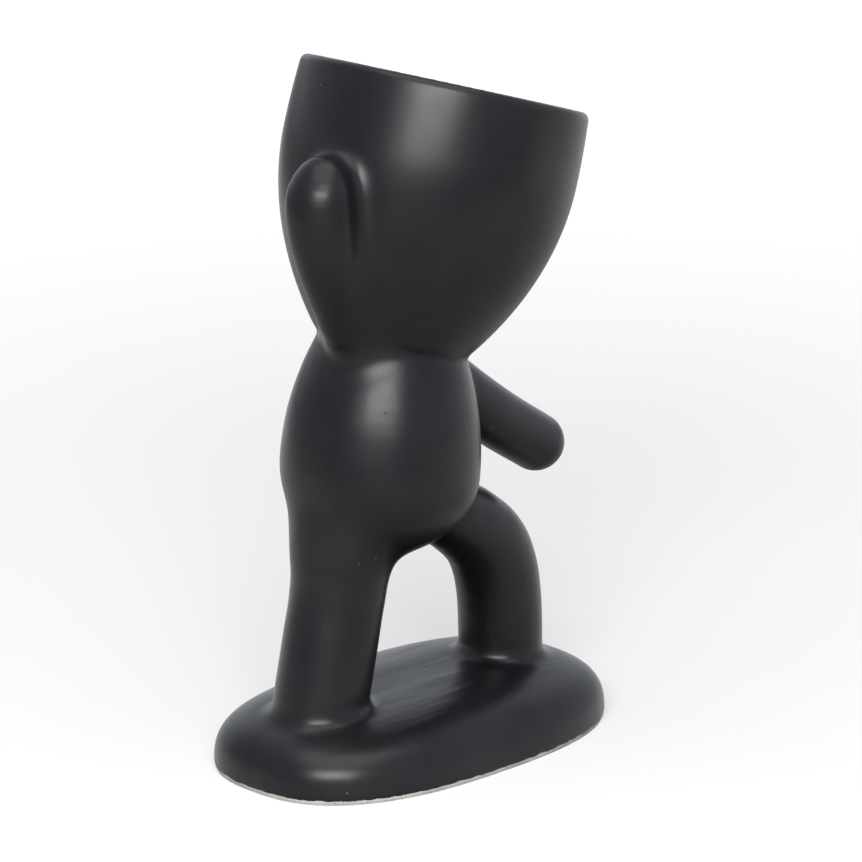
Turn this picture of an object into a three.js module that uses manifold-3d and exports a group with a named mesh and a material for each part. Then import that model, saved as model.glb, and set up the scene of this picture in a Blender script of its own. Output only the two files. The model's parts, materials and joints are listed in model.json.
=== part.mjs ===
// Figure plant pot in black glazed stoneware: a plain, faceless figure steps along an oval plinth,
// and its egg-shaped head is the pot.
// Millimetres, +Z up. The origin is the centre of the plinth's underside. +X runs along the plinth from
// the standing foot to the stepping foot, and the figure faces -Y.
import * as THREE from 'three';
import Module from 'manifold-3d';
import { mergeVertices } from 'three/addons/utils/BufferGeometryUtils.js';

const wasm = await Module();
wasm.setup();

// Joints between luted pieces
const luteGap = 0.3;               // slip line left between two pieces

// Plinth: a long oval slab with a rolled, slightly crowned edge
const plinthLength = 141.6;
const plinthWidth = 86.6;
const plinthHeight = 20.4;
const planPower = 2.57;            // 2 is an ellipse, higher is squarer
const crownPower = 3.1;            // squareness of the rolled edge
const footHeight = 1.2;            // bare clay below the glaze line
const footInset = 0.7;             // foot's underside drawn in from the plinth's widest outline
const glazeOverhang = 0.2;         // foot's upper edge drawn in under the glaze's edge

// Torso: a pear of two half eggs about one leaning axis
const legLength = 73.6;            // plinth's top up to the torso's widest circle
const torsoShift = 14.3;           // torso's centre from the plinth's centre, towards the standing side
const torsoRadius = 32;
const torsoRise = 70;              // widest circle up to the upper pole
const torsoTaper = 0.77;           // 0.5 is a half ellipse, higher is more pointed
const torsoDrop = 27.6;            // widest circle down to the lower pole
const torsoLean = 6.4;             // degrees towards the stepping side

// Head: an egg cut off square to its own leaning axis, hollow as a cup
const headLean = 17.1;             // degrees towards the stepping side
const headRadius = 46.9;
const rimRadius = 46;
const rimToWidest = 22.8;          // rim down to the widest circle
const headDrop = 82.7;             // widest circle down to where the egg would close
const headTaper = 0.86;            // 0.5 is a half ellipse, higher is more pointed
const headDepth = 91;              // rim down to the head's real, rounded bottom
const bottomRound = 9;             // height over which the bottom rounds off
const headWall = 5;
const headWallBelow = 6.7;         // the same wall measured along the axis, where the egg would close
const floorThickness = 8;
const headSeatRise = 32.9;         // torso's centre up to the middle of the head's bottom
const headSeatShift = 2.65;        // the same towards the stepping side

// Raised arm: follows the side of the head from the shoulder up to the hand
const handRadius = 10.5;
const raisedShoulderRadius = 7;
const handDepth = 38.6;            // hand's centre below the rim, along the head's axis
const handStandOff = 6;            // hand's centre outside the head's surface
const neckStandOff = -0.5;         // arm's centre at the neck outside the head's surface
const handForward = 8;             // hand's centre in front of the head's middle
const neckForward = 4.6;           // arm's centre at the neck in front of the head's middle
const raisedShoulderRise = 36;     // root inside the torso, up from its centre
const raisedShoulderOut = 11;      // root inside the torso, out from its axis

// Lowered arm: nearly straight, out and down
const armRadius = 9.6;
const loweredShoulderRadius = 9.9;
const loweredShoulderRise = 31.5;  // root inside the torso, up from its centre
const loweredShoulderOut = 17;     // root inside the torso, out from its axis
const armReach = 50;               // root to the hand's centre, outwards
const armFall = 35.4;              // root to the hand's centre, downwards
const armSag = 1.2;                // middle of the arm below a straight line

// Standing leg: straight, flared into the torso
const standingFootSetback = 30.1;  // foot's centre from the plinth's end
const standingRadius = 15.2;
const groinOut = 13.4;             // leg's centre where it enters the torso, out from the torso's centre
const groinDrop = 15;              // leg's centre where it enters the torso, down from the torso's centre
const hipOut = 4.5;                // leg's top inside the torso, out from the torso's centre
const hipDrop = 6;                 // leg's top inside the torso, down from the torso's centre
const flareDrop = 40;              // torso's centre down to where the leg starts to widen
const hipFlare = 13;               // growth of the leg's radius from there up to the torso's centre

// Stepping leg: thigh out of the hip, rounded knee, upright shin
const steppingFootSetback = 30.6;  // foot's centre from the plinth's end
const shinRadius = 13.8;
const thighRadius = 14.4;
const thighRootDrop = 15.5;        // root inside the torso, down from its centre
const thighRootOut = 10;           // root inside the torso, out from its centre
const thighRootRadius = 9;
const thighDrop = 27;              // middle of the thigh below the torso's centre
const thighOut = 35.5;             // middle of the thigh out from the torso's centre
const kneeOut = 48.5;              // torso's centre out to the knee's bend
const kneeHeight = 37.5;           // knee's bend above the plinth's top
const shinBow = 0.5;               // middle of the shin behind the foot's centre

// Feet: a soft rounding where a leg meets the plinth
const ankleFillet = 4;
const ankleHeight = 10;            // plinth's top up to where a leg has its plain section

// Fineness of the round surfaces
const headSides = 54;
const torsoSides = 46;
const limbSides = 26;
const plinthSides = 76;

const degrees = Math.PI / 180;

function shell(geometry) {
  const bare = geometry.clone();
  bare.deleteAttribute('normal');
  bare.deleteAttribute('uv');
  const merged = mergeVertices(bare, 1e-4);
  return new wasm.Manifold(new wasm.Mesh({
    numProp: 3,
    vertProperties: new Float32Array(merged.attributes.position.array),
    triVerts: new Uint32Array(merged.index.array),
  }));
}

function geometryOf(solid) {
  const mesh = solid.getMesh();
  const geometry = new THREE.BufferGeometry();
  geometry.setAttribute('position', new THREE.BufferAttribute(mesh.vertProperties, 3));
  geometry.setIndex(new THREE.BufferAttribute(mesh.triVerts, 1));
  return geometry;
}

// A closed skin over a stack of rings with the same number of points, with a pole at each end
function loft(firstPole, rings, lastPole) {
  const count = rings[0].length;
  const points = [firstPole, ...rings.flat(), lastPole];
  const index = [];
  for (let i = 0; i < count; i += 1) {
    const next = (i + 1) % count;
    index.push(0, 1 + next, 1 + i);
    for (let ring = 0; ring < rings.length - 1; ring += 1) {
      const low = 1 + ring * count;
      const high = low + count;
      index.push(low + i, low + next, high + next);
      index.push(low + i, high + next, high + i);
    }
    const last = 1 + (rings.length - 1) * count;
    index.push(last + i, last + next, points.length - 1);
  }
  const geometry = new THREE.BufferGeometry().setFromPoints(points);
  geometry.setIndex(index);
  return geometry;
}

// A turned form: a profile of (radius, height) revolved about its own axis, which leans towards +X
function turned(profile, sides, foot, lean) {
  const geometry = new THREE.LatheGeometry(profile, sides);
  geometry.rotateX(Math.PI / 2);
  geometry.rotateY(lean * degrees);
  geometry.translate(foot.x, foot.y, foot.z);
  return geometry;
}

// A limb: round sections along a curve in a plane y = constant, with a round end where asked,
// or with a foot under its first section
function limb(curve, radiusAt, steps, roundEnd, foot = { pole: curve.getPointAt(0), rings: [] }) {
  const across = new THREE.Vector3(0, 1, 0);
  const rings = [...foot.rings];
  const section = (centre, tangent, radius) => {
    const side = new THREE.Vector3().crossVectors(across, tangent).normalize();
    const ring = [];
    for (let i = 0; i < limbSides; i += 1) {
      const angle = (i / limbSides) * 2 * Math.PI;
      ring.push(centre.clone()
        .addScaledVector(side, radius * Math.cos(angle))
        .addScaledVector(across, radius * Math.sin(angle)));
    }
    return ring;
  };
  for (let i = 0; i <= steps; i += 1) {
    const u = i / steps;
    rings.push(section(curve.getPointAt(u), curve.getTangentAt(u), radiusAt(u)));
  }
  const tip = curve.getPointAt(1);
  const ahead = curve.getTangentAt(1);
  const endRadius = radiusAt(1);
  if (roundEnd) {
    const arcSteps = 7;
    for (let i = 1; i < arcSteps; i += 1) {
      const angle = (i / arcSteps) * Math.PI / 2;
      const centre = tip.clone().addScaledVector(ahead, endRadius * Math.sin(angle));
      rings.push(section(centre, ahead, endRadius * Math.cos(angle)));
    }
  }
  const lastPole = roundEnd ? tip.clone().addScaledVector(ahead, endRadius) : tip;
  return loft(foot.pole, rings, lastPole);
}

const lerp = THREE.MathUtils.lerp;
const smooth = THREE.MathUtils.smoothstep;

// Where the pieces meet
function leaning(degreesFromUpright) {
  const lean = degreesFromUpright * degrees;
  return {
    up: new THREE.Vector3(Math.sin(lean), 0, Math.cos(lean)),
    out: new THREE.Vector3(Math.cos(lean), 0, -Math.sin(lean)),
  };
}

function placed(start, axes, up, out) {
  return start.clone().addScaledVector(axes.up, up).addScaledVector(axes.out, out);
}

const torsoAxes = leaning(torsoLean);
const torsoCentre = new THREE.Vector3(-torsoShift, 0, plinthHeight + legLength);
const headAxes = leaning(headLean);
const headBottom = new THREE.Vector3(torsoCentre.x + headSeatShift, 0, torsoCentre.z + headSeatRise);
const rimCentre = placed(headBottom, headAxes, headDepth, 0);
const eggBottom = headDepth - rimToWidest;

// Radius of an egg at a distance from its widest circle towards its pole
function eggRadius(radius, length, taper, distance) {
  return radius * Math.max(0, 1 - (distance / length) ** 2) ** taper;
}

// Head's outer radius at a depth below the rim
function headRadiusAt(depth) {
  if (depth < rimToWidest) {
    return headRadius - (headRadius - rimRadius) * (1 - depth / rimToWidest) ** 2;
  }
  return eggRadius(headRadius, headDrop, headTaper, depth - rimToWidest);
}

// Profile of an egg's lower half with a rounded bottom, from the axis up to the widest circle,
// as (radius, height above the bottom)
function bowlProfile(radius, length, taper, bottom, round, steps) {
  const points = [];
  const roundSteps = Math.round(steps / 3);
  for (let i = roundSteps; i > 0; i -= 1) {
    const angle = (i / roundSteps) * Math.PI / 2;
    const distance = bottom - round * (1 - Math.sin(angle));
    const reach = i === roundSteps ? 0 : Math.cos(angle);
    points.push(new THREE.Vector2(reach * eggRadius(radius, length, taper, distance), bottom - distance));
  }
  for (let i = 0; i <= steps; i += 1) {
    const distance = (bottom - round) * (1 - i / steps);
    points.push(new THREE.Vector2(eggRadius(radius, length, taper, distance), bottom - distance));
  }
  return points;
}

function outerHead(clearance) {
  const radius = headRadius + clearance;
  const profile = bowlProfile(radius, headDrop + clearance, headTaper, eggBottom + clearance, bottomRound, 12);
  return profile.map((point) => point.setY(point.y - clearance));
}

// Wall between the widest circle and a depth below the rim, drawn in by a distance
function upperWall(endDepth, inset) {
  const points = [];
  const steps = 3;
  for (let i = 1; i <= steps; i += 1) {
    const depth = lerp(rimToWidest, endDepth, i / steps);
    points.push(new THREE.Vector2(headRadiusAt(depth) - inset, headDepth - depth));
  }
  return points;
}

// Head's outside, grown by a clearance and closed over the mouth: what the other pieces are cut by
function headBlock(clearance) {
  const profile = [...outerHead(clearance), ...upperWall(0, -clearance), new THREE.Vector2(0, headDepth)];
  return turned(profile, headSides, headBottom, headLean);
}

// The head's cup: outer egg, round lip, inner egg down to the cup's floor
function headCup() {
  const lipRadius = headWall / 2;
  const lipMiddle = headRadiusAt(lipRadius) - lipRadius;
  const lip = [];
  const lipSteps = 6;
  for (let i = 1; i < lipSteps; i += 1) {
    const angle = (i / lipSteps) * Math.PI;
    lip.push(new THREE.Vector2(
      lipMiddle + lipRadius * Math.cos(angle),
      headDepth - lipRadius + lipRadius * Math.sin(angle),
    ));
  }
  const inside = bowlProfile(
    headRadius - headWall,
    headDrop - headWallBelow,
    headTaper,
    eggBottom - floorThickness,
    bottomRound,
    10,
  ).map((point) => point.setY(point.y + floorThickness));
  const profile = [
    ...outerHead(0),
    ...upperWall(lipRadius, 0),
    ...lip,
    ...upperWall(lipRadius, headWall).reverse(),
    ...inside.reverse(),
  ];
  return turned(profile, headSides, headBottom, headLean);
}

// The torso's pear, grown by a clearance
function torsoBlock(clearance) {
  const steps = 12;
  const profile = [];
  for (let i = 0; i <= steps; i += 1) {
    const angle = (i / steps) * Math.PI / 2;
    const drop = (torsoDrop + clearance) * Math.cos(angle);
    profile.push(new THREE.Vector2((torsoRadius + clearance) * Math.sin(angle), -drop));
  }
  for (let i = 1; i <= steps; i += 1) {
    const rise = (torsoRise + clearance) * Math.sin((i / steps) * Math.PI / 2);
    const radius = eggRadius(torsoRadius + clearance, torsoRise + clearance, torsoTaper, rise);
    profile.push(new THREE.Vector2(radius, rise));
  }
  profile[profile.length - 1].x = 0;
  return turned(profile, torsoSides, torsoCentre, torsoLean);
}

// Plan outline of the plinth, drawn in from its widest outline by a distance
function planRing(inset, height) {
  const halfLength = plinthLength / 2 - inset;
  const halfWidth = plinthWidth / 2 - inset;
  const ring = [];
  for (let i = 0; i < plinthSides; i += 1) {
    const angle = (i / plinthSides) * 2 * Math.PI;
    const c = Math.cos(angle);
    const s = Math.sin(angle);
    ring.push(new THREE.Vector3(
      halfLength * Math.sign(c) * Math.abs(c) ** (2 / planPower),
      halfWidth * Math.sign(s) * Math.abs(s) ** (2 / planPower),
      height,
    ));
  }
  return ring;
}

// The plinth above the glaze line, grown upwards by a clearance
function plinthBlock(clearance) {
  const rings = [planRing(0, footHeight)];
  const crown = plinthHeight - footHeight;
  const steps = 14;
  for (let i = 1; i < steps; i += 1) {
    const angle = (i / steps) * Math.PI / 2;
    const share = Math.cos(angle) ** (2 / crownPower);
    const rise = Math.sin(angle) ** (2 / crownPower);
    rings.push(planRing((plinthWidth / 2) * (1 - share), footHeight + crown * rise + clearance));
  }
  const low = new THREE.Vector3(0, 0, footHeight);
  const high = new THREE.Vector3(0, 0, plinthHeight + clearance);
  return loft(low, rings, high);
}

function dryFoot() {
  const rings = [planRing(footInset, 0), planRing(glazeOverhang, footHeight)];
  return loft(new THREE.Vector3(0, 0, 0), rings, new THREE.Vector3(0, 0, footHeight));
}

// Height of the plinth's rolled top over a point of its plan
function plinthTopAt(x, y) {
  let outside = 0;
  let inside = plinthWidth / 2;
  for (let i = 0; i < 24; i += 1) {
    const inset = (outside + inside) / 2;
    const halfLength = plinthLength / 2 - inset;
    const halfWidth = plinthWidth / 2 - inset;
    const reach = Math.abs(x / halfLength) ** planPower + Math.abs(y / halfWidth) ** planPower;
    if (reach < 1) outside = inset;
    else inside = inset;
  }
  const share = 1 - inside / (plinthWidth / 2);
  return footHeight + (plinthHeight - footHeight) * (1 - share ** crownPower) ** (1 / crownPower);
}

// The bottom of a leg: rings that follow the plinth's rolled top and spread onto it in a quarter circle
function spreadFoot(x0, axis, radius) {
  const ringAt = (height, spread) => {
    const ring = [];
    const shift = height * axis.x / axis.z;
    for (let i = 0; i < limbSides; i += 1) {
      const angle = (i / limbSides) * 2 * Math.PI;
      const x = x0 + shift + (radius / axis.z + spread) * Math.cos(angle);
      const y = (radius + spread) * Math.sin(angle);
      ring.push(new THREE.Vector3(x, y, plinthTopAt(x, y) + height));
    }
    return ring;
  };
  const rings = [ringAt(-ankleFillet, ankleFillet)];
  const steps = 6;
  for (let i = 0; i <= steps; i += 1) {
    const angle = (i / steps) * Math.PI / 2;
    rings.push(ringAt(ankleFillet * (1 - Math.cos(angle)), ankleFillet * (1 - Math.sin(angle))));
  }
  return { pole: new THREE.Vector3(x0, 0, plinthHeight / 2), rings };
}

function standingLeg() {
  const foot = new THREE.Vector3(standingFootSetback - plinthLength / 2, 0, plinthHeight);
  const groin = torsoCentre.clone().add(new THREE.Vector3(-groinOut, 0, -groinDrop));
  const hip = torsoCentre.clone().add(new THREE.Vector3(-hipOut, 0, -hipDrop));
  const ankle = foot.clone().lerp(groin, ankleHeight / (legLength - groinDrop));
  const knee = foot.clone().lerp(groin, 0.6);
  const curve = new THREE.CatmullRomCurve3([ankle, knee, groin, hip], false, 'centripetal');
  const radiusAt = (u) => {
    const height = curve.getPointAt(u).z - plinthHeight;
    const flare = Math.max(0, height - legLength + flareDrop) / flareDrop;
    return standingRadius + hipFlare * flare ** 2;
  };
  return limb(curve, radiusAt, 18, false, spreadFoot(foot.x, curve.getTangentAt(0), standingRadius));
}

function steppingLeg() {
  const footX = plinthLength / 2 - steppingFootSetback;
  const ankle = new THREE.Vector3(footX, 0, plinthHeight + ankleHeight);
  const shin = new THREE.Vector3(footX - shinBow, 0, plinthHeight + kneeHeight / 2);
  const knee = new THREE.Vector3(torsoCentre.x + kneeOut, 0, plinthHeight + kneeHeight);
  const thigh = torsoCentre.clone().add(new THREE.Vector3(thighOut, 0, -thighDrop));
  const root = torsoCentre.clone().add(new THREE.Vector3(thighRootOut, 0, -thighRootDrop));
  const curve = new THREE.CatmullRomCurve3([ankle, shin, knee, thigh, root], false, 'centripetal');
  const thighHeight = thigh.z - plinthHeight;
  const rootHeight = root.z - plinthHeight;
  const radiusAt = (u) => {
    const height = curve.getPointAt(u).z - plinthHeight;
    const muscle = lerp(shinRadius, thighRadius, smooth(height, kneeHeight / 2, thighHeight));
    return lerp(muscle, thighRootRadius, smooth(height, thighHeight, rootHeight));
  };
  return limb(curve, radiusAt, 22, false, spreadFoot(footX, curve.getTangentAt(0), shinRadius));
}

function raisedArm() {
  const neckDepth = headDepth - bottomRound;
  const points = [];
  const steps = 4;
  for (let i = 0; i <= steps; i += 1) {
    const down = i / steps;
    const depth = lerp(handDepth, neckDepth, down);
    const forward = lerp(handForward, neckForward, down);
    const reach = headRadiusAt(depth) + lerp(handStandOff, neckStandOff, down);
    const out = Math.sqrt(reach ** 2 - forward ** 2);
    points.push(placed(rimCentre, headAxes, -depth, -out).setY(-forward));
  }
  const shoulder = placed(torsoCentre, torsoAxes, raisedShoulderRise, -raisedShoulderOut).setY(-neckForward);
  const curve = new THREE.CatmullRomCurve3([shoulder, ...points.reverse()], false, 'centripetal');
  const radiusAt = (u) => lerp(raisedShoulderRadius, handRadius, smooth(u, 0.05, 0.7));
  return limb(curve, radiusAt, 20, true);
}

function loweredArm() {
  const shoulder = placed(torsoCentre, torsoAxes, loweredShoulderRise, loweredShoulderOut);
  const hand = shoulder.clone().add(new THREE.Vector3(armReach, 0, -armFall));
  const middle = shoulder.clone().lerp(hand, 0.6).add(new THREE.Vector3(0, 0, -armSag));
  const curve = new THREE.CatmullRomCurve3([shoulder, middle, hand], false, 'centripetal');
  const radiusAt = (u) => lerp(loweredShoulderRadius, armRadius, smooth(u, 0.3, 0.95));
  return limb(curve, radiusAt, 14, true);
}

// Pieces cut to seat on each other
const headCutter = shell(headBlock(luteGap));
const torsoCutter = shell(torsoBlock(luteGap));
const plinthCutter = shell(plinthBlock(luteGap));

const glaze = { color: 0x26282b, roughness: 0.42, metalness: 0 };
const bareClay = { color: 0xb9b4ab, roughness: 0.92, metalness: 0 };

const pot = new THREE.Group();

function addPiece(name, geometry, finish) {
  const mesh = new THREE.Mesh(geometry, new THREE.MeshStandardMaterial(finish));
  mesh.name = name;
  pot.add(mesh);
}

addPiece('head_cup', headCup(), glaze);
addPiece('torso', geometryOf(shell(torsoBlock(0)).subtract(headCutter)), glaze);
addPiece('raised_arm', geometryOf(shell(raisedArm()).subtract(headCutter).subtract(torsoCutter)), glaze);
addPiece('lowered_arm', geometryOf(shell(loweredArm()).subtract(headCutter).subtract(torsoCutter)), glaze);
addPiece('standing_leg', geometryOf(shell(standingLeg()).subtract(torsoCutter).subtract(plinthCutter)), glaze);
addPiece('stepping_leg', geometryOf(shell(steppingLeg()).subtract(torsoCutter).subtract(plinthCutter)), glaze);
addPiece('plinth', plinthBlock(0), glaze);
addPiece('dry_foot', dryFoot(), bareClay);

export default pot;
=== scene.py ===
# A figure plant pot in satin black glaze: the open, egg-shaped head of a plain stepping figure is the pot.
import json
import math
import time
import bpy
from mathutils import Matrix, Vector
from mathutils.bvhtree import BVHTree

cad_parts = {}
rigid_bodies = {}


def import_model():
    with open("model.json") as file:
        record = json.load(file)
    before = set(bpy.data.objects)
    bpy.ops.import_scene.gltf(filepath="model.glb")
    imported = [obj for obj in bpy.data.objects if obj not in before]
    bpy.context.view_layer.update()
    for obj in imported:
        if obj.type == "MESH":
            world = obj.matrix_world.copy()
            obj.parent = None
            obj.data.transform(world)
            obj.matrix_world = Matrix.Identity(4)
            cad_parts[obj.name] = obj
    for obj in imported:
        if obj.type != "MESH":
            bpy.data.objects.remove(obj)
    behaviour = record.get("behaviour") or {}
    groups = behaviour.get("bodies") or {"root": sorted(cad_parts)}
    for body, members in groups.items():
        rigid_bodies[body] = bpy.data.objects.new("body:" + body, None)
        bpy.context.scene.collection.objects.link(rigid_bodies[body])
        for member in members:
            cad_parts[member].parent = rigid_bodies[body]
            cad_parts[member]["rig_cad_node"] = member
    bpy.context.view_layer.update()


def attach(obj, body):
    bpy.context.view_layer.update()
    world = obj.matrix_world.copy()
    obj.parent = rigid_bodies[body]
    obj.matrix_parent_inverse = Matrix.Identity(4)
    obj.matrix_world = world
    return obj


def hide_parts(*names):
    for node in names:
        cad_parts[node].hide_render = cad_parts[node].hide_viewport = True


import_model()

startTime = time.time()


def report(stage):
    print(f"[{time.time() - startTime:5.1f} s] {stage}")


def millimetres(*values):
    return Vector([value / 1000 for value in values])


def deselectAll():
    if bpy.context.object and bpy.context.object.mode != "OBJECT":
        bpy.ops.object.mode_set(mode="OBJECT")
    bpy.ops.object.select_all(action="DESELECT")


def pick(*objects):
    deselectAll()
    for obj in objects:
        obj.select_set(True)
    bpy.context.view_layer.objects.active = objects[0]


def duplicate(obj, name):
    pick(obj)
    bpy.ops.object.duplicate()
    copy = bpy.context.object
    copy.name = copy.data.name = name
    return copy


def applyModifiers(obj):
    pick(obj)
    for modifier in list(obj.modifiers):
        bpy.ops.object.modifier_apply(modifier=modifier.name)


def applyPlace(obj):
    pick(obj)
    bpy.ops.object.transform_apply(location=True, rotation=True, scale=True)


def smooth(value, low, high):
    share = min(1, max(0, (value - low) / (high - low)))
    return share * share * (3 - 2 * share)


# Camera, at the photo's angle
camera = {
    "place": (-1.06012, -1.08753, 0.55892),
    "yaw": 44.5,          # degrees, how far the view turns to the right of straight ahead (+Y)
    "pitch": 16.7,        # degrees, how far the view looks down
    "focalPixels": 5000,  # focal length measured in pixels of the frame
    "framePixels": 862,
    "sensorWidth": 36,    # mm
    "farthest": 50,       # metres, how far it sees
}


def makeCamera():
    deselectAll()
    turn = (math.radians(90 - camera["pitch"]), 0, math.radians(-camera["yaw"]))
    bpy.ops.object.camera_add(location=camera["place"], rotation=turn)
    view = bpy.context.object
    view.name = "photoCamera"
    view.data.sensor_fit = "HORIZONTAL"
    view.data.sensor_width = camera["sensorWidth"]
    view.data.lens = camera["sensorWidth"] * camera["focalPixels"] / camera["framePixels"]
    view.data.clip_end = camera["farthest"]
    bpy.context.scene.camera = view
    bpy.context.scene.view_settings.view_transform = "Standard"


makeCamera()
report("camera")


# Head and body are turned forms, drawn ring by ring
poleRadius = 0.05  # mm, the last ring before a pole is closed


def turnForm(name, rings, sides):
    # rings are (radius, height) from the lower pole to the upper one, in millimetres
    deselectAll()
    radius, height = rings[0]
    bpy.ops.mesh.primitive_circle_add(vertices=sides, radius=radius / 1000, location=(0, 0, height / 1000))
    form = bpy.context.object
    form.name = form.data.name = name
    bpy.ops.object.transform_apply(location=True, rotation=True, scale=True)
    bpy.ops.object.mode_set(mode="EDIT")
    bpy.ops.mesh.select_all(action="SELECT")
    for (oldRadius, oldHeight), (newRadius, newHeight) in zip(rings, rings[1:]):
        rise = (newHeight - oldHeight) / 1000
        bpy.ops.mesh.extrude_region_move(TRANSFORM_OT_translate={"value": (0, 0, rise)})
        grow = newRadius / oldRadius
        bpy.ops.transform.resize(value=(grow, grow, 1), center_override=(0, 0, newHeight / 1000))
    bpy.ops.mesh.merge(type="CENTER")
    bpy.ops.object.mode_set(mode="OBJECT")
    for vertex in form.data.vertices:
        vertex.select = vertex.index < sides
    bpy.ops.object.mode_set(mode="EDIT")
    bpy.ops.mesh.select_mode(type="VERT")
    bpy.ops.mesh.merge(type="CENTER")
    bpy.ops.mesh.select_all(action="SELECT")
    bpy.ops.mesh.normals_make_consistent(inside=False)
    bpy.ops.object.mode_set(mode="OBJECT")
    return form


def eggRadius(radius, length, taper, distance):
    return radius * max(0, 1 - (distance / length) ** 2) ** taper


def leaning(degreesFromUpright):
    # the form's own directions: up along its axis, and out towards the stepping side
    lean = math.radians(degreesFromUpright)
    return Vector((math.sin(lean), 0, math.cos(lean))), Vector((math.cos(lean), 0, -math.sin(lean)))


def standUp(form, foot, lean):
    form.location = foot / 1000
    form.rotation_euler = (0, math.radians(lean), 0)
    applyPlace(form)


# Body: a pear of two half eggs. This form's sizes are in millimetres, and so are all the others'
body = {
    "centre": Vector((-14.3, 0, 94.0)),
    "radius": 32,
    "rise": 70,         # widest circle up to the upper pole
    "taper": 0.77,
    "drop": 27.6,       # widest circle down to the lower pole
    "lean": 6.4,        # degrees towards the stepping side
    "rings": 26,
    "sides": 128,
}


def bodyRings(grow):
    rings = []
    for i in range(1, body["rings"] + 1):
        angle = i / body["rings"] * math.pi / 2
        rings.append(((body["radius"] + grow) * math.sin(angle), -(body["drop"] + grow) * math.cos(angle)))
    for i in range(1, body["rings"]):
        rise = (body["rise"] + grow) * math.sin(i / body["rings"] * math.pi / 2)
        rings.append((eggRadius(body["radius"] + grow, body["rise"] + grow, body["taper"], rise), rise))
    rings.append((poleRadius, body["rise"] + grow))
    return rings


def makeBody(name, grow):
    form = turnForm(name, bodyRings(grow), body["sides"])
    standUp(form, body["centre"], body["lean"])
    return form


# Head: an egg cut off square to its own leaning axis, hollow as a cup
head = {
    "bottom": body["centre"] + Vector((2.65, 0, 32.9)),
    "lean": 17.1,
    "radius": 46.9,
    "rimRadius": 46,
    "rimToWidest": 22.8,
    "drop": 82.7,        # widest circle down to where the egg would close
    "taper": 0.86,
    "depth": 91,         # rim down to the rounded bottom
    "bottomRound": 9,
    "wall": 5,
    "wallBelow": 6.7,
    "floor": 8,
    "sides": 160,
    "outerSteps": 30,    # rings from the bottom to the widest circle
    "innerSteps": 24,
    "sideSteps": 8,      # rings from the widest circle to the lip
    "lipSteps": 14,      # rings over the rounded lip
    "poleGap": 0.02,     # share of a step that is left round the pole
    "lipTilt": 0.7,      # the lip stands this much higher on one side and lower on the other
    "lipTiltSide": -134,  # degrees round from +X, the higher side
    "lipTiltReach": 22,
}


def headRadiusAt(depth):
    if depth < head["rimToWidest"]:
        return head["radius"] - (head["radius"] - head["rimRadius"]) * (1 - depth / head["rimToWidest"]) ** 2
    return eggRadius(head["radius"], head["drop"], head["taper"], depth - head["rimToWidest"])


def bowlRings(radius, length, bottom, floor, steps):
    # lower half of an egg with a rounded bottom, from the axis up to the widest circle
    rings = []
    roundSteps = steps // 2
    for i in range(roundSteps, 0, -1):
        step = i - head["poleGap"] if i == roundSteps else i
        angle = step / roundSteps * math.pi / 2
        distance = bottom - head["bottomRound"] * (1 - math.sin(angle))
        reach = math.cos(angle) * eggRadius(radius, length, head["taper"], distance)
        rings.append((reach, floor + bottom - distance))
    for i in range(steps + 1):
        distance = (bottom - head["bottomRound"]) * (1 - i / steps)
        rings.append((eggRadius(radius, length, head["taper"], distance), floor + bottom - distance))
    return rings


def outerHeadRings(grow):
    bottom = head["depth"] - head["rimToWidest"] + grow
    return bowlRings(head["radius"] + grow, head["drop"] + grow, bottom, -grow, head["outerSteps"])


def cupRings():
    rings = outerHeadRings(0)
    lip = head["wall"] / 2
    steps = head["sideSteps"]
    for i in range(1, steps + 1):
        depth = head["rimToWidest"] + (lip - head["rimToWidest"]) * i / steps
        rings.append((headRadiusAt(depth), head["depth"] - depth))
    lipMiddle = headRadiusAt(lip) - lip
    for i in range(1, head["lipSteps"]):
        angle = i / head["lipSteps"] * math.pi
        rings.append((lipMiddle + lip * math.cos(angle), head["depth"] - lip + lip * math.sin(angle)))
    for i in range(steps, 0, -1):
        depth = head["rimToWidest"] + (lip - head["rimToWidest"]) * i / steps
        rings.append((headRadiusAt(depth) - head["wall"], head["depth"] - depth))
    inside = bowlRings(
        head["radius"] - head["wall"],
        head["drop"] - head["wallBelow"],
        head["depth"] - head["rimToWidest"] - head["floor"],
        head["floor"],
        head["innerSteps"],
    )
    return rings + inside[::-1]


def makeHead():
    form = turnForm("cupHead", cupRings(), head["sides"])
    side = math.radians(head["lipTiltSide"])
    for vertex in form.data.vertices:
        place = vertex.co * 1000
        share = smooth(place.z, head["depth"] - head["lipTiltReach"], head["depth"])
        across = (place.x * math.cos(side) + place.y * math.sin(side)) / head["rimRadius"]
        vertex.co.z += head["lipTilt"] * across * share / 1000
    standUp(form, head["bottom"], head["lean"])
    return form


headForm = makeHead()
bodyForm = makeBody("pearBody", 0)
report("head and body turned")


# Arms and legs are rolled coils of clay, each drawn as a curve with its own thickness
rolling = {
    "alongSteps": 14,    # between two stations
    "roundSteps": 20,
    "endSides": 80,      # the ball at a rounded end
    "endRings": 50,
    "weld": 0.000002,    # metres, points closer than this become one
}


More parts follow.
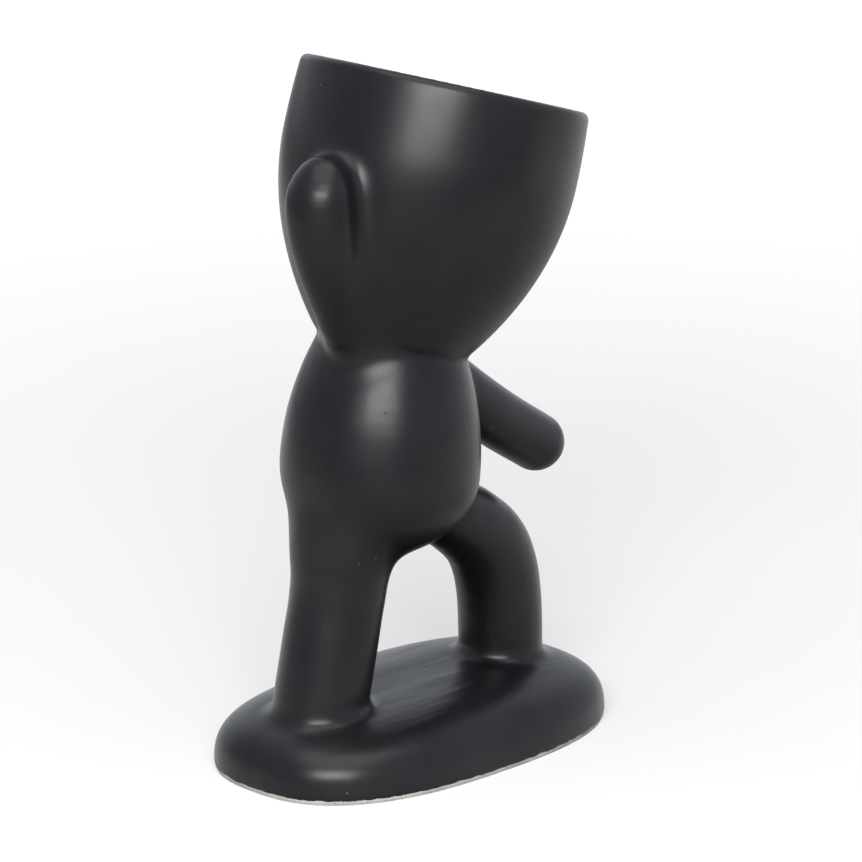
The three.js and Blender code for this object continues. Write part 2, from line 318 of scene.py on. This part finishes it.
def rollLimb(name, stations, roundEnd):
    # stations are (x, y, z, radius) in millimetres
    deselectAll()
    bpy.ops.curve.primitive_bezier_curve_add(location=(0, 0, 0))
    coil = bpy.context.object
    coil.name = coil.data.name = name
    coil.data.dimensions = "3D"
    spline = coil.data.splines[0]
    spline.bezier_points.add(len(stations) - len(spline.bezier_points))
    spline.radius_interpolation = "CARDINAL"
    spline.resolution_u = rolling["alongSteps"]
    for point, (x, y, z, radius) in zip(spline.bezier_points, stations):
        point.co = millimetres(x, y, z)
        point.radius = radius / 1000
        point.handle_left_type = point.handle_right_type = "AUTO"
    coil.data.bevel_depth = 1
    coil.data.bevel_resolution = rolling["roundSteps"]
    coil.data.use_fill_caps = True
    pick(coil)
    bpy.ops.object.convert(target="MESH")
    coil = bpy.context.object
    parts = [coil]
    if roundEnd:
        x, y, z, radius = stations[-1]
        deselectAll()
        bpy.ops.mesh.primitive_uv_sphere_add(
            segments=rolling["endSides"], ring_count=rolling["endRings"],
            radius=radius / 1000, location=millimetres(x, y, z),
        )
        parts.append(bpy.context.object)
    pick(*parts)
    if len(parts) > 1:
        bpy.ops.object.join()
    coil = bpy.context.object
    applyPlace(coil)
    bpy.ops.object.mode_set(mode="EDIT")
    bpy.ops.mesh.select_all(action="SELECT")
    bpy.ops.mesh.remove_doubles(threshold=rolling["weld"])
    bpy.ops.mesh.normals_make_consistent(inside=False)
    bpy.ops.object.mode_set(mode="OBJECT")
    return coil


legs = {
    # from inside the plinth up to where they end inside the body
    "standing": [
        (-43.1, 0, 10, 15.2), (-38.5, 0, 30.4, 15.2), (-35.8, 0, 42.6, 15.2), (-33.1, 0, 54.8, 15.2),
        (-31.4, 0, 64.1, 16.0), (-29.8, 0, 73.3, 18.2), (-25.8, 0, 81.7, 21.4), (-18.8, 0, 88, 24.6),
    ],
    "stepping": [
        (40.2, 0, 10, 13.8), (40.2, 0, 30.4, 13.8), (39.4, 0, 41.2, 13.8), (37.2, 0, 51.0, 13.8),
        (33.4, 0, 58.6, 13.6), (27.6, 0, 64.7, 13.0), (20.6, 0, 70.0, 12.4), (12.0, 0, 75.2, 11.4),
        (0, 0, 81, 9),
    ],
}

headUp, headOut = leaning(head["lean"])
bodyUp, bodyOut = leaning(body["lean"])
rimCentre = head["bottom"] + headUp * head["depth"]

arms = {
    # along the head: depth under the rim, forward of the head's middle, out from its surface, radius
    "raised": [
        (82, 4.4, -0.5, 7.6), (73.3, 5.5, 0.6, 8.8), (64.6, 6.5, 2.0, 10.2),
        (56, 7.0, 3.6, 11.2), (49.5, 6.9, 4.8, 11.4), (43.2, 6.7, 5.4, 11.2),
    ],
    "fingertip": 15,     # length of the rounded end beyond the last of these
    "tipSteps": 6,
    "tipRadius": 0.3,    # where that end closes
    "raisedShoulder": (36, -11, 7),  # up the body's axis, out from it, radius
    "lowShoulder": (31.5, 17),
    "lowShoulderRadius": 9.9,
    "lowRadius": 9.6,
    "reach": 50,         # shoulder to hand, along the level
    "fall": 35.4,
    "bend": 0.6,         # share of the way to the hand where it sags
    "sag": 1.2,
}


def raisedArmStations():
    rise, out, radius = arms["raisedShoulder"]
    shoulder = body["centre"] + bodyUp * rise + bodyOut * out
    stations = [(shoulder.x, -arms["raised"][0][1], shoulder.z, radius)]
    for depth, forward, standOff, radius in arms["raised"]:
        out = math.sqrt((headRadiusAt(depth) + standOff) ** 2 - forward ** 2)
        point = rimCentre - headUp * depth - headOut * out
        stations.append((point.x, -forward, point.z, radius))
    for i in range(1, arms["tipSteps"] + 1):
        angle = i / arms["tipSteps"] * math.pi / 2
        tip = point + headUp * arms["fingertip"] * math.sin(angle)
        stations.append((tip.x, -forward, tip.z, max(arms["tipRadius"], radius * math.cos(angle))))
    return stations


def loweredArmStations():
    rise, out = arms["lowShoulder"]
    shoulder = body["centre"] + bodyUp * rise + bodyOut * out
    hand = shoulder + Vector((arms["reach"], 0, -arms["fall"]))
    middle = shoulder.lerp(hand, arms["bend"]) - Vector((0, 0, arms["sag"]))
    thick, thin = arms["lowShoulderRadius"], arms["lowRadius"]
    radii = (thick, (thick + thin) / 2, thin)
    return [(point.x, 0, point.z, radius) for point, radius in zip((shoulder, middle, hand), radii)]


standingForm = rollLimb("straightLeg", legs["standing"], False)
steppingForm = rollLimb("bentLeg", legs["stepping"], False)
raisedForm = rollLimb("armUp", raisedArmStations(), False)
loweredForm = rollLimb("armDown", loweredArmStations(), True)
report("arms and legs rolled")


# Plinth: a pebble-like slab with a rolled edge
plinth = {
    "length": 141.6,
    "width": 86.6,
    "height": 20.4,
    "planPower": 2.57,   # 2 is an ellipse, higher is squarer
    "crownPower": 3.1,   # squareness of the rolled edge
    "glazeLine": 0.9,    # bare clay below it
    "sides": 200,
    "rings": 24,
    "topShares": [0.13, 0.09, 0.055, 0.025],  # rings further in over the flat top, as shares of the width
}


def planPoint(angle, inset):
    along, across = math.cos(angle), math.sin(angle)
    power = 2 / plinth["planPower"]
    x = (plinth["length"] / 2 - inset) * math.copysign(abs(along) ** power, along)
    y = (plinth["width"] / 2 - inset) * math.copysign(abs(across) ** power, across)
    return x / 1000, y / 1000


def makeSlab(name, levels, sides):
    # levels are (inset, height) from the bottom up, in millimetres
    deselectAll()
    inset, height = levels[0]
    bpy.ops.mesh.primitive_circle_add(vertices=sides, radius=1, fill_type="NGON", location=(0, 0, 0))
    slab = bpy.context.object
    slab.name = slab.data.name = name
    for vertex in slab.data.vertices:
        angle = math.atan2(vertex.co.y, vertex.co.x)
        vertex.co.x, vertex.co.y = planPoint(angle, inset)
        vertex.co.z = height / 1000
    halfLength, halfWidth = plinth["length"] / 2, plinth["width"] / 2
    bpy.ops.object.mode_set(mode="EDIT")
    bpy.ops.mesh.select_all(action="SELECT")
    for (oldInset, oldHeight), (newInset, newHeight) in zip(levels, levels[1:]):
        rise = (newHeight - oldHeight) / 1000
        bpy.ops.mesh.extrude_region_move(TRANSFORM_OT_translate={"value": (0, 0, rise)})
        growX = (halfLength - newInset) / (halfLength - oldInset)
        growY = (halfWidth - newInset) / (halfWidth - oldInset)
        bpy.ops.transform.resize(value=(growX, growY, 1), center_override=(0, 0, newHeight / 1000))
    bpy.ops.mesh.select_all(action="SELECT")
    bpy.ops.mesh.normals_make_consistent(inside=False)
    bpy.ops.object.mode_set(mode="OBJECT")
    return slab


def plinthLevels(grow):
    crown = plinth["height"] - plinth["glazeLine"]
    power = plinth["crownPower"]
    angles = [i / plinth["rings"] * math.pi / 2 for i in range(1, plinth["rings"])]
    shares = [math.cos(angle) ** (2 / power) for angle in angles]
    levels = [(-grow, plinth["glazeLine"])]
    for share in shares + plinth["topShares"]:
        rise = (1 - share ** power) ** (1 / power)
        levels.append((plinth["width"] / 2 * (1 - share) - grow, plinth["glazeLine"] + crown * rise + grow))
    return levels


plinthForm = makeSlab("pebble", plinthLevels(0), plinth["sides"])
report("plinth shaped")


# The pieces are luted together: one skin is grown over them all, its joints are wiped soft,
# and it is then cut again along the real joints, so the glaze runs on without a step
luting = {
    "grain": 0.86,       # mm, fineness of the skin
    "stroke": 0.5,       # strength of one smoothing pass
    "settlePasses": (6, 3),  # smoothing before the skin settles on the forms, once and again
    "evenPasses": 5,     # light smoothing all over
    "lipShading": 8,     # mm, this far down the head the shading is the turned form's
    "seam": 0.5,         # mm, the cut runs this far outside the piece that carries the joint
    "socket": 2.5,       # mm, the body and the arm end this far inside the head's outside
    "cutterOver": 4,     # mm, the cutters reach this far past the rim and the foot
    "crumb": 400,        # points, a smaller piece is a crumb of the cuts
    "armsAbove": 85,     # mm, a limb whose middle is above this is an arm
    "hold": 0.3,         # share of the reach that is wiped in full
    "noFade": (2000, 1000),  # mm, a wipe fades out between such heights, these are far above the pot
    # which pieces meet, how far from the joint in mm, how many smoothing passes
    "neck": {"pairs": [("head", "body")], "reach": 3.0, "passes": 16},
    "palm": {"pairs": [("head", "raised")], "reach": 8.0, "passes": 200},
    "elbow": {
        "pairs": [("head", "raised"), ("raised", "body")],
        "reach": 10,
        "passes": 240,
        "fade": (172, 148),
    },
    "hip": {"pairs": [("standing", "body")], "reach": 14.0, "passes": 260},
    "soft": {
        "pairs": [("standing", "plinth"), ("stepping", "plinth"), ("lowered", "body")],
        "reach": 8.0,
        "passes": 90,
    },
    "thigh": {"pairs": [("stepping", "body")], "reach": 5.0, "passes": 36},
}
lutingKinds = ("neck", "palm", "elbow", "hip", "soft", "thigh")

forms = {
    "head": headForm, "body": bodyForm, "standing": standingForm, "stepping": steppingForm,
    "raised": raisedForm, "lowered": loweredForm, "plinth": plinthForm,
}


def surfaceTree(obj):
    places = [vertex.co for vertex in obj.data.vertices]
    return BVHTree.FromPolygons(places, [tuple(face.vertices) for face in obj.data.polygons])


def cutCopy(source, cutter, operation, name):
    piece = duplicate(source, name)
    cut = piece.modifiers.new("cut", "BOOLEAN")
    cut.operation = operation
    cut.solver = "MANIFOLD"
    cut.object = cutter
    applyModifiers(piece)
    return piece


def headCutter(grow):
    rings = outerHeadRings(grow)
    top = head["depth"] + luting["cutterOver"]
    rings.append((head["radius"] + grow, top))
    rings.append((poleRadius, top))
    cutter = turnForm("headCutter", rings, head["sides"])
    standUp(cutter, head["bottom"], head["lean"])
    return cutter


def clearCup():
    # nothing of the body or of the arm may reach through the head's wall
    core = headCutter(-luting["socket"])
    for name in ("body", "raised"):
        forms[name] = cutCopy(forms[name], core, "DIFFERENCE", name + "Socketed")


def addSmoothing(obj, name, passes, group=""):
    smoothing = obj.modifiers.new(name, "SMOOTH")
    smoothing.factor = luting["stroke"]
    smoothing.iterations = passes
    smoothing.vertex_group = group


def growSkin():
    copies = [duplicate(form, name + "Copy") for name, form in forms.items()]
    pick(*copies)
    bpy.ops.object.join()
    skin = bpy.context.object
    skin.name = skin.data.name = "glazeSkin"
    grain = skin.modifiers.new("grain", "REMESH")
    grain.mode = "VOXEL"
    grain.voxel_size = luting["grain"] / 1000
    grain.adaptivity = 0
    applyModifiers(skin)
    forming = [duplicate(form, name + "Mould") for name, form in forms.items()]
    pick(*forming)
    bpy.ops.object.join()
    mould = bpy.context.object
    for passes in luting["settlePasses"]:
        addSmoothing(skin, "relax", passes)
        settle = skin.modifiers.new("settle", "SHRINKWRAP")
        settle.target = mould
        settle.wrap_method = "NEAREST_SURFACEPOINT"
        applyModifiers(skin)
    return skin


def markJoints(skin, trees):
    places = [vertex.co.copy() for vertex in skin.data.vertices]
    widest = max(luting[kind]["reach"] for kind in lutingKinds) / 1000
    gaps = {}
    for name, tree in trees.items():
        found = [tree.find_nearest(place, widest)[3] for place in places]
        gaps[name] = [widest * 2 if gap is None else gap for gap in found]
    for kind in lutingKinds:
        group = skin.vertex_groups.new(name=kind)
        reach = luting[kind]["reach"] / 1000
        fadeFrom, fadeTo = [height / 1000 for height in luting[kind].get("fade", luting["noFade"])]
        for index, place in enumerate(places):
            closest = min(max(gaps[one][index], gaps[other][index]) for one, other in luting[kind]["pairs"])
            if closest < reach and place.z < fadeFrom:
                share = 1 - smooth(closest, reach * luting["hold"], reach)
                group.add([index], share * (1 - smooth(place.z, fadeTo, fadeFrom)), "REPLACE")


def wipeJoints(skin):
    for kind in lutingKinds:
        addSmoothing(skin, kind, luting[kind]["passes"], kind)
    addSmoothing(skin, "even", luting["evenPasses"])
    applyModifiers(skin)
    pick(skin)
    bpy.ops.object.shade_smooth()


clearCup()
glazeSkin = growSkin()
report(f"skin grown, {len(glazeSkin.data.vertices)} points")
markJoints(glazeSkin, {name: surfaceTree(form) for name, form in forms.items()})
report("joints marked")
wipeJoints(glazeSkin)
report("joints wiped")


def shadeLike(piece, source, group=""):
    shade = piece.modifiers.new("shade", "DATA_TRANSFER")
    shade.object = source
    shade.use_loop_data = True
    shade.data_types_loops = {"CUSTOM_NORMAL"}
    shade.loop_mapping = "POLYINTERP_NEAREST"
    shade.vertex_group = group
    applyModifiers(piece)


# The lip is the finest rounding, so its shading comes from the turned form itself
def shadeLip(skin, form):
    pick(form)
    bpy.ops.object.shade_smooth()
    lip = skin.vertex_groups.new(name="lip")
    for vertex in skin.data.vertices:
        if (rimCentre / 1000 - vertex.co).dot(headUp) < luting["lipShading"] / 1000:
            lip.add([vertex.index], 1, "REPLACE")
    shadeLike(skin, form, "lip")


shadeLip(glazeSkin, headForm)


def splitSkin(skin):
    cutters = [headCutter(luting["seam"]), makeBody("bodyCutter", luting["seam"])]
    over = luting["cutterOver"]
    levels = [(-over, -over)] + plinthLevels(luting["seam"])
    cutters.append(makeSlab("plinthCutter", levels, plinth["sides"]))
    pieces = {}
    rest = skin
    for name, cutter in zip(("headPot", "pearTorso", "pebblePlinth"), cutters):
        pieces[name] = cutCopy(rest, cutter, "INTERSECT", name)
        rest = cutCopy(rest, cutter, "DIFFERENCE", "rest")
    pick(rest)
    bpy.ops.object.mode_set(mode="EDIT")
    bpy.ops.mesh.select_all(action="SELECT")
    bpy.ops.mesh.separate(type="LOOSE")
    bpy.ops.object.mode_set(mode="OBJECT")
    loose = [obj for obj in bpy.context.selected_objects if len(obj.data.vertices) > luting["crumb"]]
    for obj in loose:
        middle = sum((Vector(corner) for corner in obj.bound_box), Vector()) / 8
        high = middle.z > luting["armsAbove"] / 1000
        far = middle.x > 0
        name = {(True, False): "armRaised", (True, True): "armLowered",
                (False, False): "legStanding", (False, True): "legStepping"}[(high, far)]
        obj.name = obj.data.name = name
        pieces[name] = obj
    return pieces


pieces = splitSkin(glazeSkin)
report(f"skin split into {sorted(pieces)}")


# The glaze's lower edge wanders up and down, as it was wiped off by hand
ragged = {
    "reach": 1.6,        # mm, above the edge, as far as it still moves
    "hold": 0.2,         # share of that reach that moves in full
    "swing": 1.1,        # mm
    "patch": 3.2,        # mm, length of one swing
    "layers": 2,         # of finer swings on it
}


def ragTheEdge(slab):
    edge = slab.vertex_groups.new(name="edge")
    line, reach = plinth["glazeLine"] / 1000, ragged["reach"] / 1000
    for vertex in slab.data.vertices:
        share = 1 - smooth(vertex.co.z, line + reach * ragged["hold"], line + reach)
        if share > 0:
            edge.add([vertex.index], share, "REPLACE")
    wander = bpy.data.textures.new("wander", "CLOUDS")
    wander.noise_scale = ragged["patch"] / 1000
    wander.noise_depth = ragged["layers"]
    rag = slab.modifiers.new("rag", "DISPLACE")
    rag.texture = wander
    rag.texture_coords = "LOCAL"
    rag.direction = "Z"
    rag.mid_level = 0.5
    rag.strength = ragged["swing"] / 1000
    rag.vertex_group = "edge"
    applyModifiers(slab)


ragTheEdge(pieces["pebblePlinth"])

# Foot: the bare clay under the glaze line
foot = {
    "inset": 0.7,        # underside drawn in from the plinth's widest outline
    "underGlaze": 0.35,  # clay lies this far under the glaze's surface
    "top": 2.2,          # the clay runs up inside the glazed slab
}


def makeFoot():
    line = plinth["glazeLine"]
    levels = [(foot["inset"], 0), (foot["underGlaze"], line), (foot["underGlaze"], foot["top"])]
    return makeSlab("clayFoot", levels, plinth["sides"])


pieces["clayFoot"] = makeFoot()


# One smooth shading over the cuts
for name, piece in pieces.items():
    if name != "clayFoot":
        shadeLike(piece, glazeSkin)
report("shading carried over the cuts")


# Glaze and clay
sharpSpan = (0.35, 0.65)  # the middle of a noise, spread over all that it drives
softSpan = (0.3, 0.7)


def newMaterial(name):
    material = bpy.data.materials.new(name)
    material.use_nodes = True
    nodes = material.node_tree.nodes
    return material, nodes, material.node_tree.links, nodes["Principled BSDF"]


def addNode(nodes, kind, **settings):
    node = nodes.new(kind)
    for key, value in settings.items():
        setattr(node, key, value)
    return node


def rangeNode(nodes, links, source, span, ends):
    node = addNode(nodes, "ShaderNodeMapRange", interpolation_type="SMOOTHSTEP")
    for name, value in zip(("From Min", "From Max", "To Min", "To Max"), (*span, *ends)):
        node.inputs[name].default_value = value
    links.new(source, node.inputs["Value"])
    return node.outputs["Result"]


def noiseNode(nodes, links, source, scale, detail, stretch=(1, 1, 1)):
    mapping = nodes.new("ShaderNodeMapping")
    mapping.inputs["Scale"].default_value = stretch
    links.new(source, mapping.inputs["Vector"])
    noise = nodes.new("ShaderNodeTexNoise")
    noise.inputs["Scale"].default_value = scale
    noise.inputs["Detail"].default_value = detail
    links.new(mapping.outputs["Vector"], noise.inputs["Vector"])
    return noise.outputs["Fac"]


def spotsNode(nodes, links, source, perMetre):
    spots = nodes.new("ShaderNodeTexVoronoi")
    spots.inputs["Scale"].default_value = perMetre
    links.new(source, spots.inputs["Vector"])
    return spots.outputs["Distance"]


def mathNode(nodes, links, operation, first, second):
    node = addNode(nodes, "ShaderNodeMath", operation=operation)
    links.new(first, node.inputs[0])
    links.new(second, node.inputs[1])
    return node.outputs["Value"]


def mixNode(nodes, links, kind, factor, first, second):
    # first and second are outputs of nodes, or plain colours
    mix = addNode(nodes, "ShaderNodeMix", data_type=kind)
    links.new(factor, mix.inputs["Factor"])
    for name, value in (("A", first), ("B", second)):
        if isinstance(value, bpy.types.NodeSocket):
            links.new(value, mix.inputs[name])
        else:
            mix.inputs[name].default_value = value
    return mix.outputs["Result"]


def bumpNode(nodes, links, height, depth, before=None):
    bump = nodes.new("ShaderNodeBump")
    bump.inputs["Distance"].default_value = depth
    bump.inputs["Strength"].default_value = 1
    links.new(height, bump.inputs["Height"])
    if before is not None:
        links.new(before, bump.inputs["Normal"])
    return bump.outputs["Normal"]


glazeLook = {
    "thin": (0.0062, 0.0062, 0.0074, 1),
    "thick": (0.0032, 0.0034, 0.0050, 1),
    "haze": (0.62, 0.50),  # roughness of the wide sheen, from thin glaze to thick
    "hazeLevel": 0.07,
    "gloss": 0.315,        # roughness of the melted top
    "glossIndex": 1.34,    # low, as the satin surface scatters most of what it reflects face on
    "undersideShadeWeights": (0.4, 1.0),      # its weight on the underside and elsewhere, lower underneath as painted shade that dims the reflections there
    "underside": (-0.5, 0.25),  # upward lean of the surface between those two
    "patchWeights": (1, 0.84),  # shares of that, in clouds
    "dragWeights": (1.0, 0.7),  # where it ran together on the plinth's flat top, across the drag marks
    "flat": (0.93, 0.995),      # upward lean at which a place turns flat
    "poolTop": (0.021, 0.024),  # metres up, past the plinth's top, where that ends
    # noises: lumps per metre, detail, stretch
    "clouds": (28, 3),
    "patches": (55, 5),
    "drag": (130, 3, (0.15, 1, 0.3)),
    "runs": (210, 2, (1, 1, 0.07)),
    "peel": (170, 2),
    "grain": (1100, 2),
    # depths in metres
    "dragDepth": 0.0004,
    "runDepth": 0.00004,
    "peelDepth": 0.00003,
    "grainDepth": 0.000004,
    "pitDepth": 0.00012,
    "pitsPerMetre": 110,
    "pitSize": 0.044,      # share of the pits' spacing
    "pitBottom": 0.5,      # shares of that size: the pale bottom, and the sunk edge from and to
    "pitEdge": (0.4, 1.3),
    "pitColour": (0.11, 0.105, 0.10, 1),
}


def makeGlaze():
    material, nodes, links, shader = newMaterial("satinBlackGlaze")
    look = glazeLook
    place = nodes.new("ShaderNodeTexCoord").outputs["Object"]
    facing = nodes.new("ShaderNodeSeparateXYZ")
    links.new(nodes.new("ShaderNodeNewGeometry").outputs["Normal"], facing.inputs["Vector"])
    lean = facing.outputs["Z"]
    height = nodes.new("ShaderNodeSeparateXYZ")
    links.new(place, height.inputs["Vector"])

    # colour: a little thicker and bluer here, thinner and browner there
    clouds = noiseNode(nodes, links, place, *look["clouds"])
    thickness = rangeNode(nodes, links, clouds, sharpSpan, (0, 1))
    tint = mixNode(nodes, links, "RGBA", thickness, look["thin"], look["thick"])

    # pits where gas broke through the melt, with a pale bottom
    spots = spotsNode(nodes, links, place, look["pitsPerMetre"])
    size = look["pitSize"]
    pits = rangeNode(nodes, links, spots, (size * look["pitBottom"], size), (1, 0))
    bottoms = mathNode(nodes, links, "MULTIPLY", pits, pits)
    colour = mixNode(nodes, links, "RGBA", bottoms, tint, look["pitColour"])
    links.new(colour, shader.inputs["Base Color"])

    # the wide sheen below the melted top
    haze = rangeNode(nodes, links, clouds, softSpan, look["haze"])
    links.new(haze, shader.inputs["Roughness"])
    shader.inputs["Specular IOR Level"].default_value = look["hazeLevel"]

    # the melted top: weaker in clouds, streaked on the plinth's top, and turned down on the underside as
    # painted shade that dims its reflections
    shader.inputs["Coat Roughness"].default_value = look["gloss"]
    shader.inputs["Coat IOR"].default_value = look["glossIndex"]
    patches = noiseNode(nodes, links, place, *look["patches"])
    drag = noiseNode(nodes, links, place, *look["drag"])
    flat = rangeNode(nodes, links, lean, look["flat"], (0, 1))
    low = rangeNode(nodes, links, height.outputs["Z"], look["poolTop"], (1, 0))
    pool = mathNode(nodes, links, "MULTIPLY", flat, low)
    # painted shade: less of the coat on surfaces that face down, so they reflect less and look darker
    undersideShade = rangeNode(nodes, links, lean, look["underside"], look["undersideShadeWeights"])
    patchy = rangeNode(nodes, links, patches, softSpan, look["patchWeights"])
    patchesAndShade = mathNode(nodes, links, "MULTIPLY", undersideShade, patchy)
    dragged = rangeNode(nodes, links, drag, sharpSpan, look["dragWeights"])
    weight = mixNode(nodes, links, "FLOAT", pool, patchesAndShade, dragged)
    links.new(weight, shader.inputs["Coat Weight"])

    # relief: drag marks on the plinth's top, faint runs down the sides, orange peel, grain, pits
    marks = mathNode(nodes, links, "MULTIPLY", drag, pool)
    normal = bumpNode(nodes, links, marks, look["dragDepth"])
    for name, depth in (("runs", "runDepth"), ("peel", "peelDepth"), ("grain", "grainDepth")):
        relief = noiseNode(nodes, links, place, *look[name])
        normal = bumpNode(nodes, links, relief, look[depth], normal)
    edgeFrom, edgeTo = look["pitEdge"]
    sunk = rangeNode(nodes, links, spots, (size * edgeFrom, size * edgeTo), (0, 1))
    normal = bumpNode(nodes, links, sunk, look["pitDepth"], normal)
    links.new(normal, shader.inputs["Normal"])
    links.new(normal, shader.inputs["Coat Normal"])
    return material


clayLook = {
    "pale": (0.52, 0.50, 0.465, 1),
    "dark": (0.40, 0.38, 0.35, 1),
    "clouds": (90, 4),
    "roughness": (0.82, 0.96),
    "level": 0.25,
    "tooth": (1500, 3),
    "toothDepth": 0.00006,
    "specksPerMetre": 620,
    "speck": (0.22, 0.19, 0.16, 1),
    "speckSize": (0.12, 0.26),  # shares of their spacing, full and gone
    "speckStrength": 0.8,
    "speckDepth": 0.00005,
}


def makeClay():
    material, nodes, links, shader = newMaterial("bareClay")
    look = clayLook
    place = nodes.new("ShaderNodeTexCoord").outputs["Object"]
    clouds = noiseNode(nodes, links, place, *look["clouds"])
    shade = rangeNode(nodes, links, clouds, sharpSpan, (0, 1))
    clayColour = mixNode(nodes, links, "RGBA", shade, look["pale"], look["dark"])
    grog = spotsNode(nodes, links, place, look["specksPerMetre"])
    specks = rangeNode(nodes, links, grog, look["speckSize"], (look["speckStrength"], 0))
    colour = mixNode(nodes, links, "RGBA", specks, clayColour, look["speck"])
    links.new(colour, shader.inputs["Base Color"])
    roughness = rangeNode(nodes, links, clouds, softSpan, look["roughness"])
    links.new(roughness, shader.inputs["Roughness"])
    shader.inputs["Specular IOR Level"].default_value = look["level"]
    tooth = noiseNode(nodes, links, place, *look["tooth"])
    normal = bumpNode(nodes, links, tooth, look["toothDepth"])
    normal = bumpNode(nodes, links, grog, look["speckDepth"], normal)
    links.new(normal, shader.inputs["Normal"])
    return material


glaze = makeGlaze()
clay = makeClay()
replaced = {
    "headPot": "head_cup", "pearTorso": "torso", "armRaised": "raised_arm", "armLowered": "lowered_arm",
    "legStanding": "standing_leg", "legStepping": "stepping_leg", "pebblePlinth": "plinth",
    "clayFoot": "dry_foot",
}
for name, node in replaced.items():
    piece = pieces[name]
    piece.data.materials.clear()
    piece.data.materials.append(clay if name == "clayFoot" else glaze)
    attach(piece, "root")
    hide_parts(node)
for obj in list(bpy.data.objects):
    if obj.type == "MESH" and "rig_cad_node" not in obj and obj not in pieces.values():
        bpy.data.objects.remove(obj)
report("materials")


# Studio: a sheet of white paper in pale surroundings, three softboxes on the camera's side
softboxes = {
    # degrees round from +X, degrees above the level, then metres and watts
    "keySoftbox": {"side": -140, "height": 28, "distance": 1.35, "width": 1.3, "depth": 0.66, "power": 6.5},
    "keyMiddle": {"side": -138, "height": 27, "distance": 1.35, "width": 0.78, "depth": 0.46, "power": 15.2},
    "topSoftbox": {"side": -140, "height": 78, "distance": 1.2, "width": 1.3, "depth": 1.1, "power": 10.5},
}
softboxAim = (0, 0, 0.12)

paper = {
    "size": 16,            # metres
    "colour": (0.50, 0.50, 0.505, 1),
    "roughness": 0.9,
    "level": 0.1,
    "lift": (0.45, 0.88),  # takes it up to white where it is seen directly or in reflections
    "liftReach": (0.1, 1.1),  # metres from the pot between those two
    # it fades to the left of the photo and towards the camera: direction, metres from and to
    "edges": [((-0.713, 0.701, 0), 0.32, 0.62), ((-0.701, -0.713, 0), 0.16, 0.42)],
    "edgeShare": 0.15,
}

surroundings = {
    "fill": 0.12,          # light from all around
    "seen": 0.62,          # strength seen directly and in reflections
    "wallSeen": 1.0,       # the same for the pale walls
    "tint": (0.88, 0.93, 1.0, 1),
    # walls behind the pot and on its right: direction, and the cosine of the angle from it where they end
    "walls": [((0.70, 0.78, 0.12), 0.45), ((0.7, -0.72, 0.12), 0.5)],
    "wallFull": 0.97,      # cosine within which they are at their full strength
}


def seenWhite(nodes, links):
    # 1 for what the camera, a reflection or a clear body shows, 0 for the light on things
    path = nodes.new("ShaderNodeLightPath")
    seen = path.outputs["Is Camera Ray"]
    for name in ("Is Glossy Ray", "Is Transmission Ray"):
        seen = mathNode(nodes, links, "MAXIMUM", seen, path.outputs[name])
    return seen


def towardsNode(nodes, links, source, direction):
    towards = addNode(nodes, "ShaderNodeVectorMath", operation="DOT_PRODUCT")
    towards.inputs[1].default_value = direction
    links.new(source, towards.inputs[0])
    return towards.outputs["Value"]


def addSoftbox(name, side, height, distance, width, depth, power):
    deselectAll()
    side, height = math.radians(side), math.radians(height)
    level = math.cos(height)
    away = Vector((math.cos(side) * level, math.sin(side) * level, math.sin(height)))
    place = Vector(softboxAim) + away * distance
    turn = (-away).to_track_quat("-Z", "Y").to_euler()
    bpy.ops.object.light_add(type="AREA", location=place, rotation=turn)
    lamp = bpy.context.object
    lamp.name = name
    lamp.data.shape = "RECTANGLE"
    lamp.data.size = width
    lamp.data.size_y = depth
    lamp.data.energy = power


def makeFloor():
    deselectAll()
    bpy.ops.mesh.primitive_plane_add(size=paper["size"], location=(0, 0, 0))
    floor = bpy.context.object
    floor.name = "studioFloor"
    material, nodes, links, shader = newMaterial("paperFloor")
    shader.inputs["Base Color"].default_value = paper["colour"]
    shader.inputs["Roughness"].default_value = paper["roughness"]
    shader.inputs["Specular IOR Level"].default_value = paper["level"]
    shader.inputs["Emission Color"].default_value = (1, 1, 1, 1)
    place = nodes.new("ShaderNodeTexCoord").outputs["Object"]
    away = addNode(nodes, "ShaderNodeVectorMath", operation="LENGTH")
    links.new(place, away.inputs[0])
    lift = rangeNode(nodes, links, away.outputs["Value"], paper["liftReach"], paper["lift"])
    for side, near, far in paper["edges"]:
        towards = towardsNode(nodes, links, place, side)
        edge = rangeNode(nodes, links, towards, (near, far), (1, paper["edgeShare"]))
        lift = mathNode(nodes, links, "MULTIPLY", lift, edge)
    seen = mathNode(nodes, links, "MULTIPLY", lift, seenWhite(nodes, links))
    links.new(seen, shader.inputs["Emission Strength"])
    floor.data.materials.append(material)


def makeWorld():
    world = bpy.data.worlds.new("studioWorld")
    bpy.context.scene.world = world
    world.use_nodes = True
    nodes, links = world.node_tree.nodes, world.node_tree.links
    around = nodes["Background"]
    around.inputs["Color"].default_value = surroundings["tint"]
    direction = nodes.new("ShaderNodeTexCoord").outputs["Generated"]
    fill = surroundings["fill"]
    strengths = (surroundings["seen"] - fill, surroundings["wallSeen"] - fill)
    brightest = None
    for side, farthest in surroundings["walls"]:
        towards = towardsNode(nodes, links, direction, Vector(side).normalized())
        wall = rangeNode(nodes, links, towards, (farthest, surroundings["wallFull"]), strengths)
        brightest = mathNode(nodes, links, "MAXIMUM", brightest, wall) if brightest else wall
    seen = mathNode(nodes, links, "MULTIPLY", brightest, seenWhite(nodes, links))
    total = addNode(nodes, "ShaderNodeMath", operation="ADD")
    total.inputs[1].default_value = fill
    links.new(seen, total.inputs[0])
    links.new(total.outputs["Value"], around.inputs["Strength"])


makeFloor()
makeWorld()
for name, softbox in softboxes.items():
    addSoftbox(name, **softbox)
report("studio")
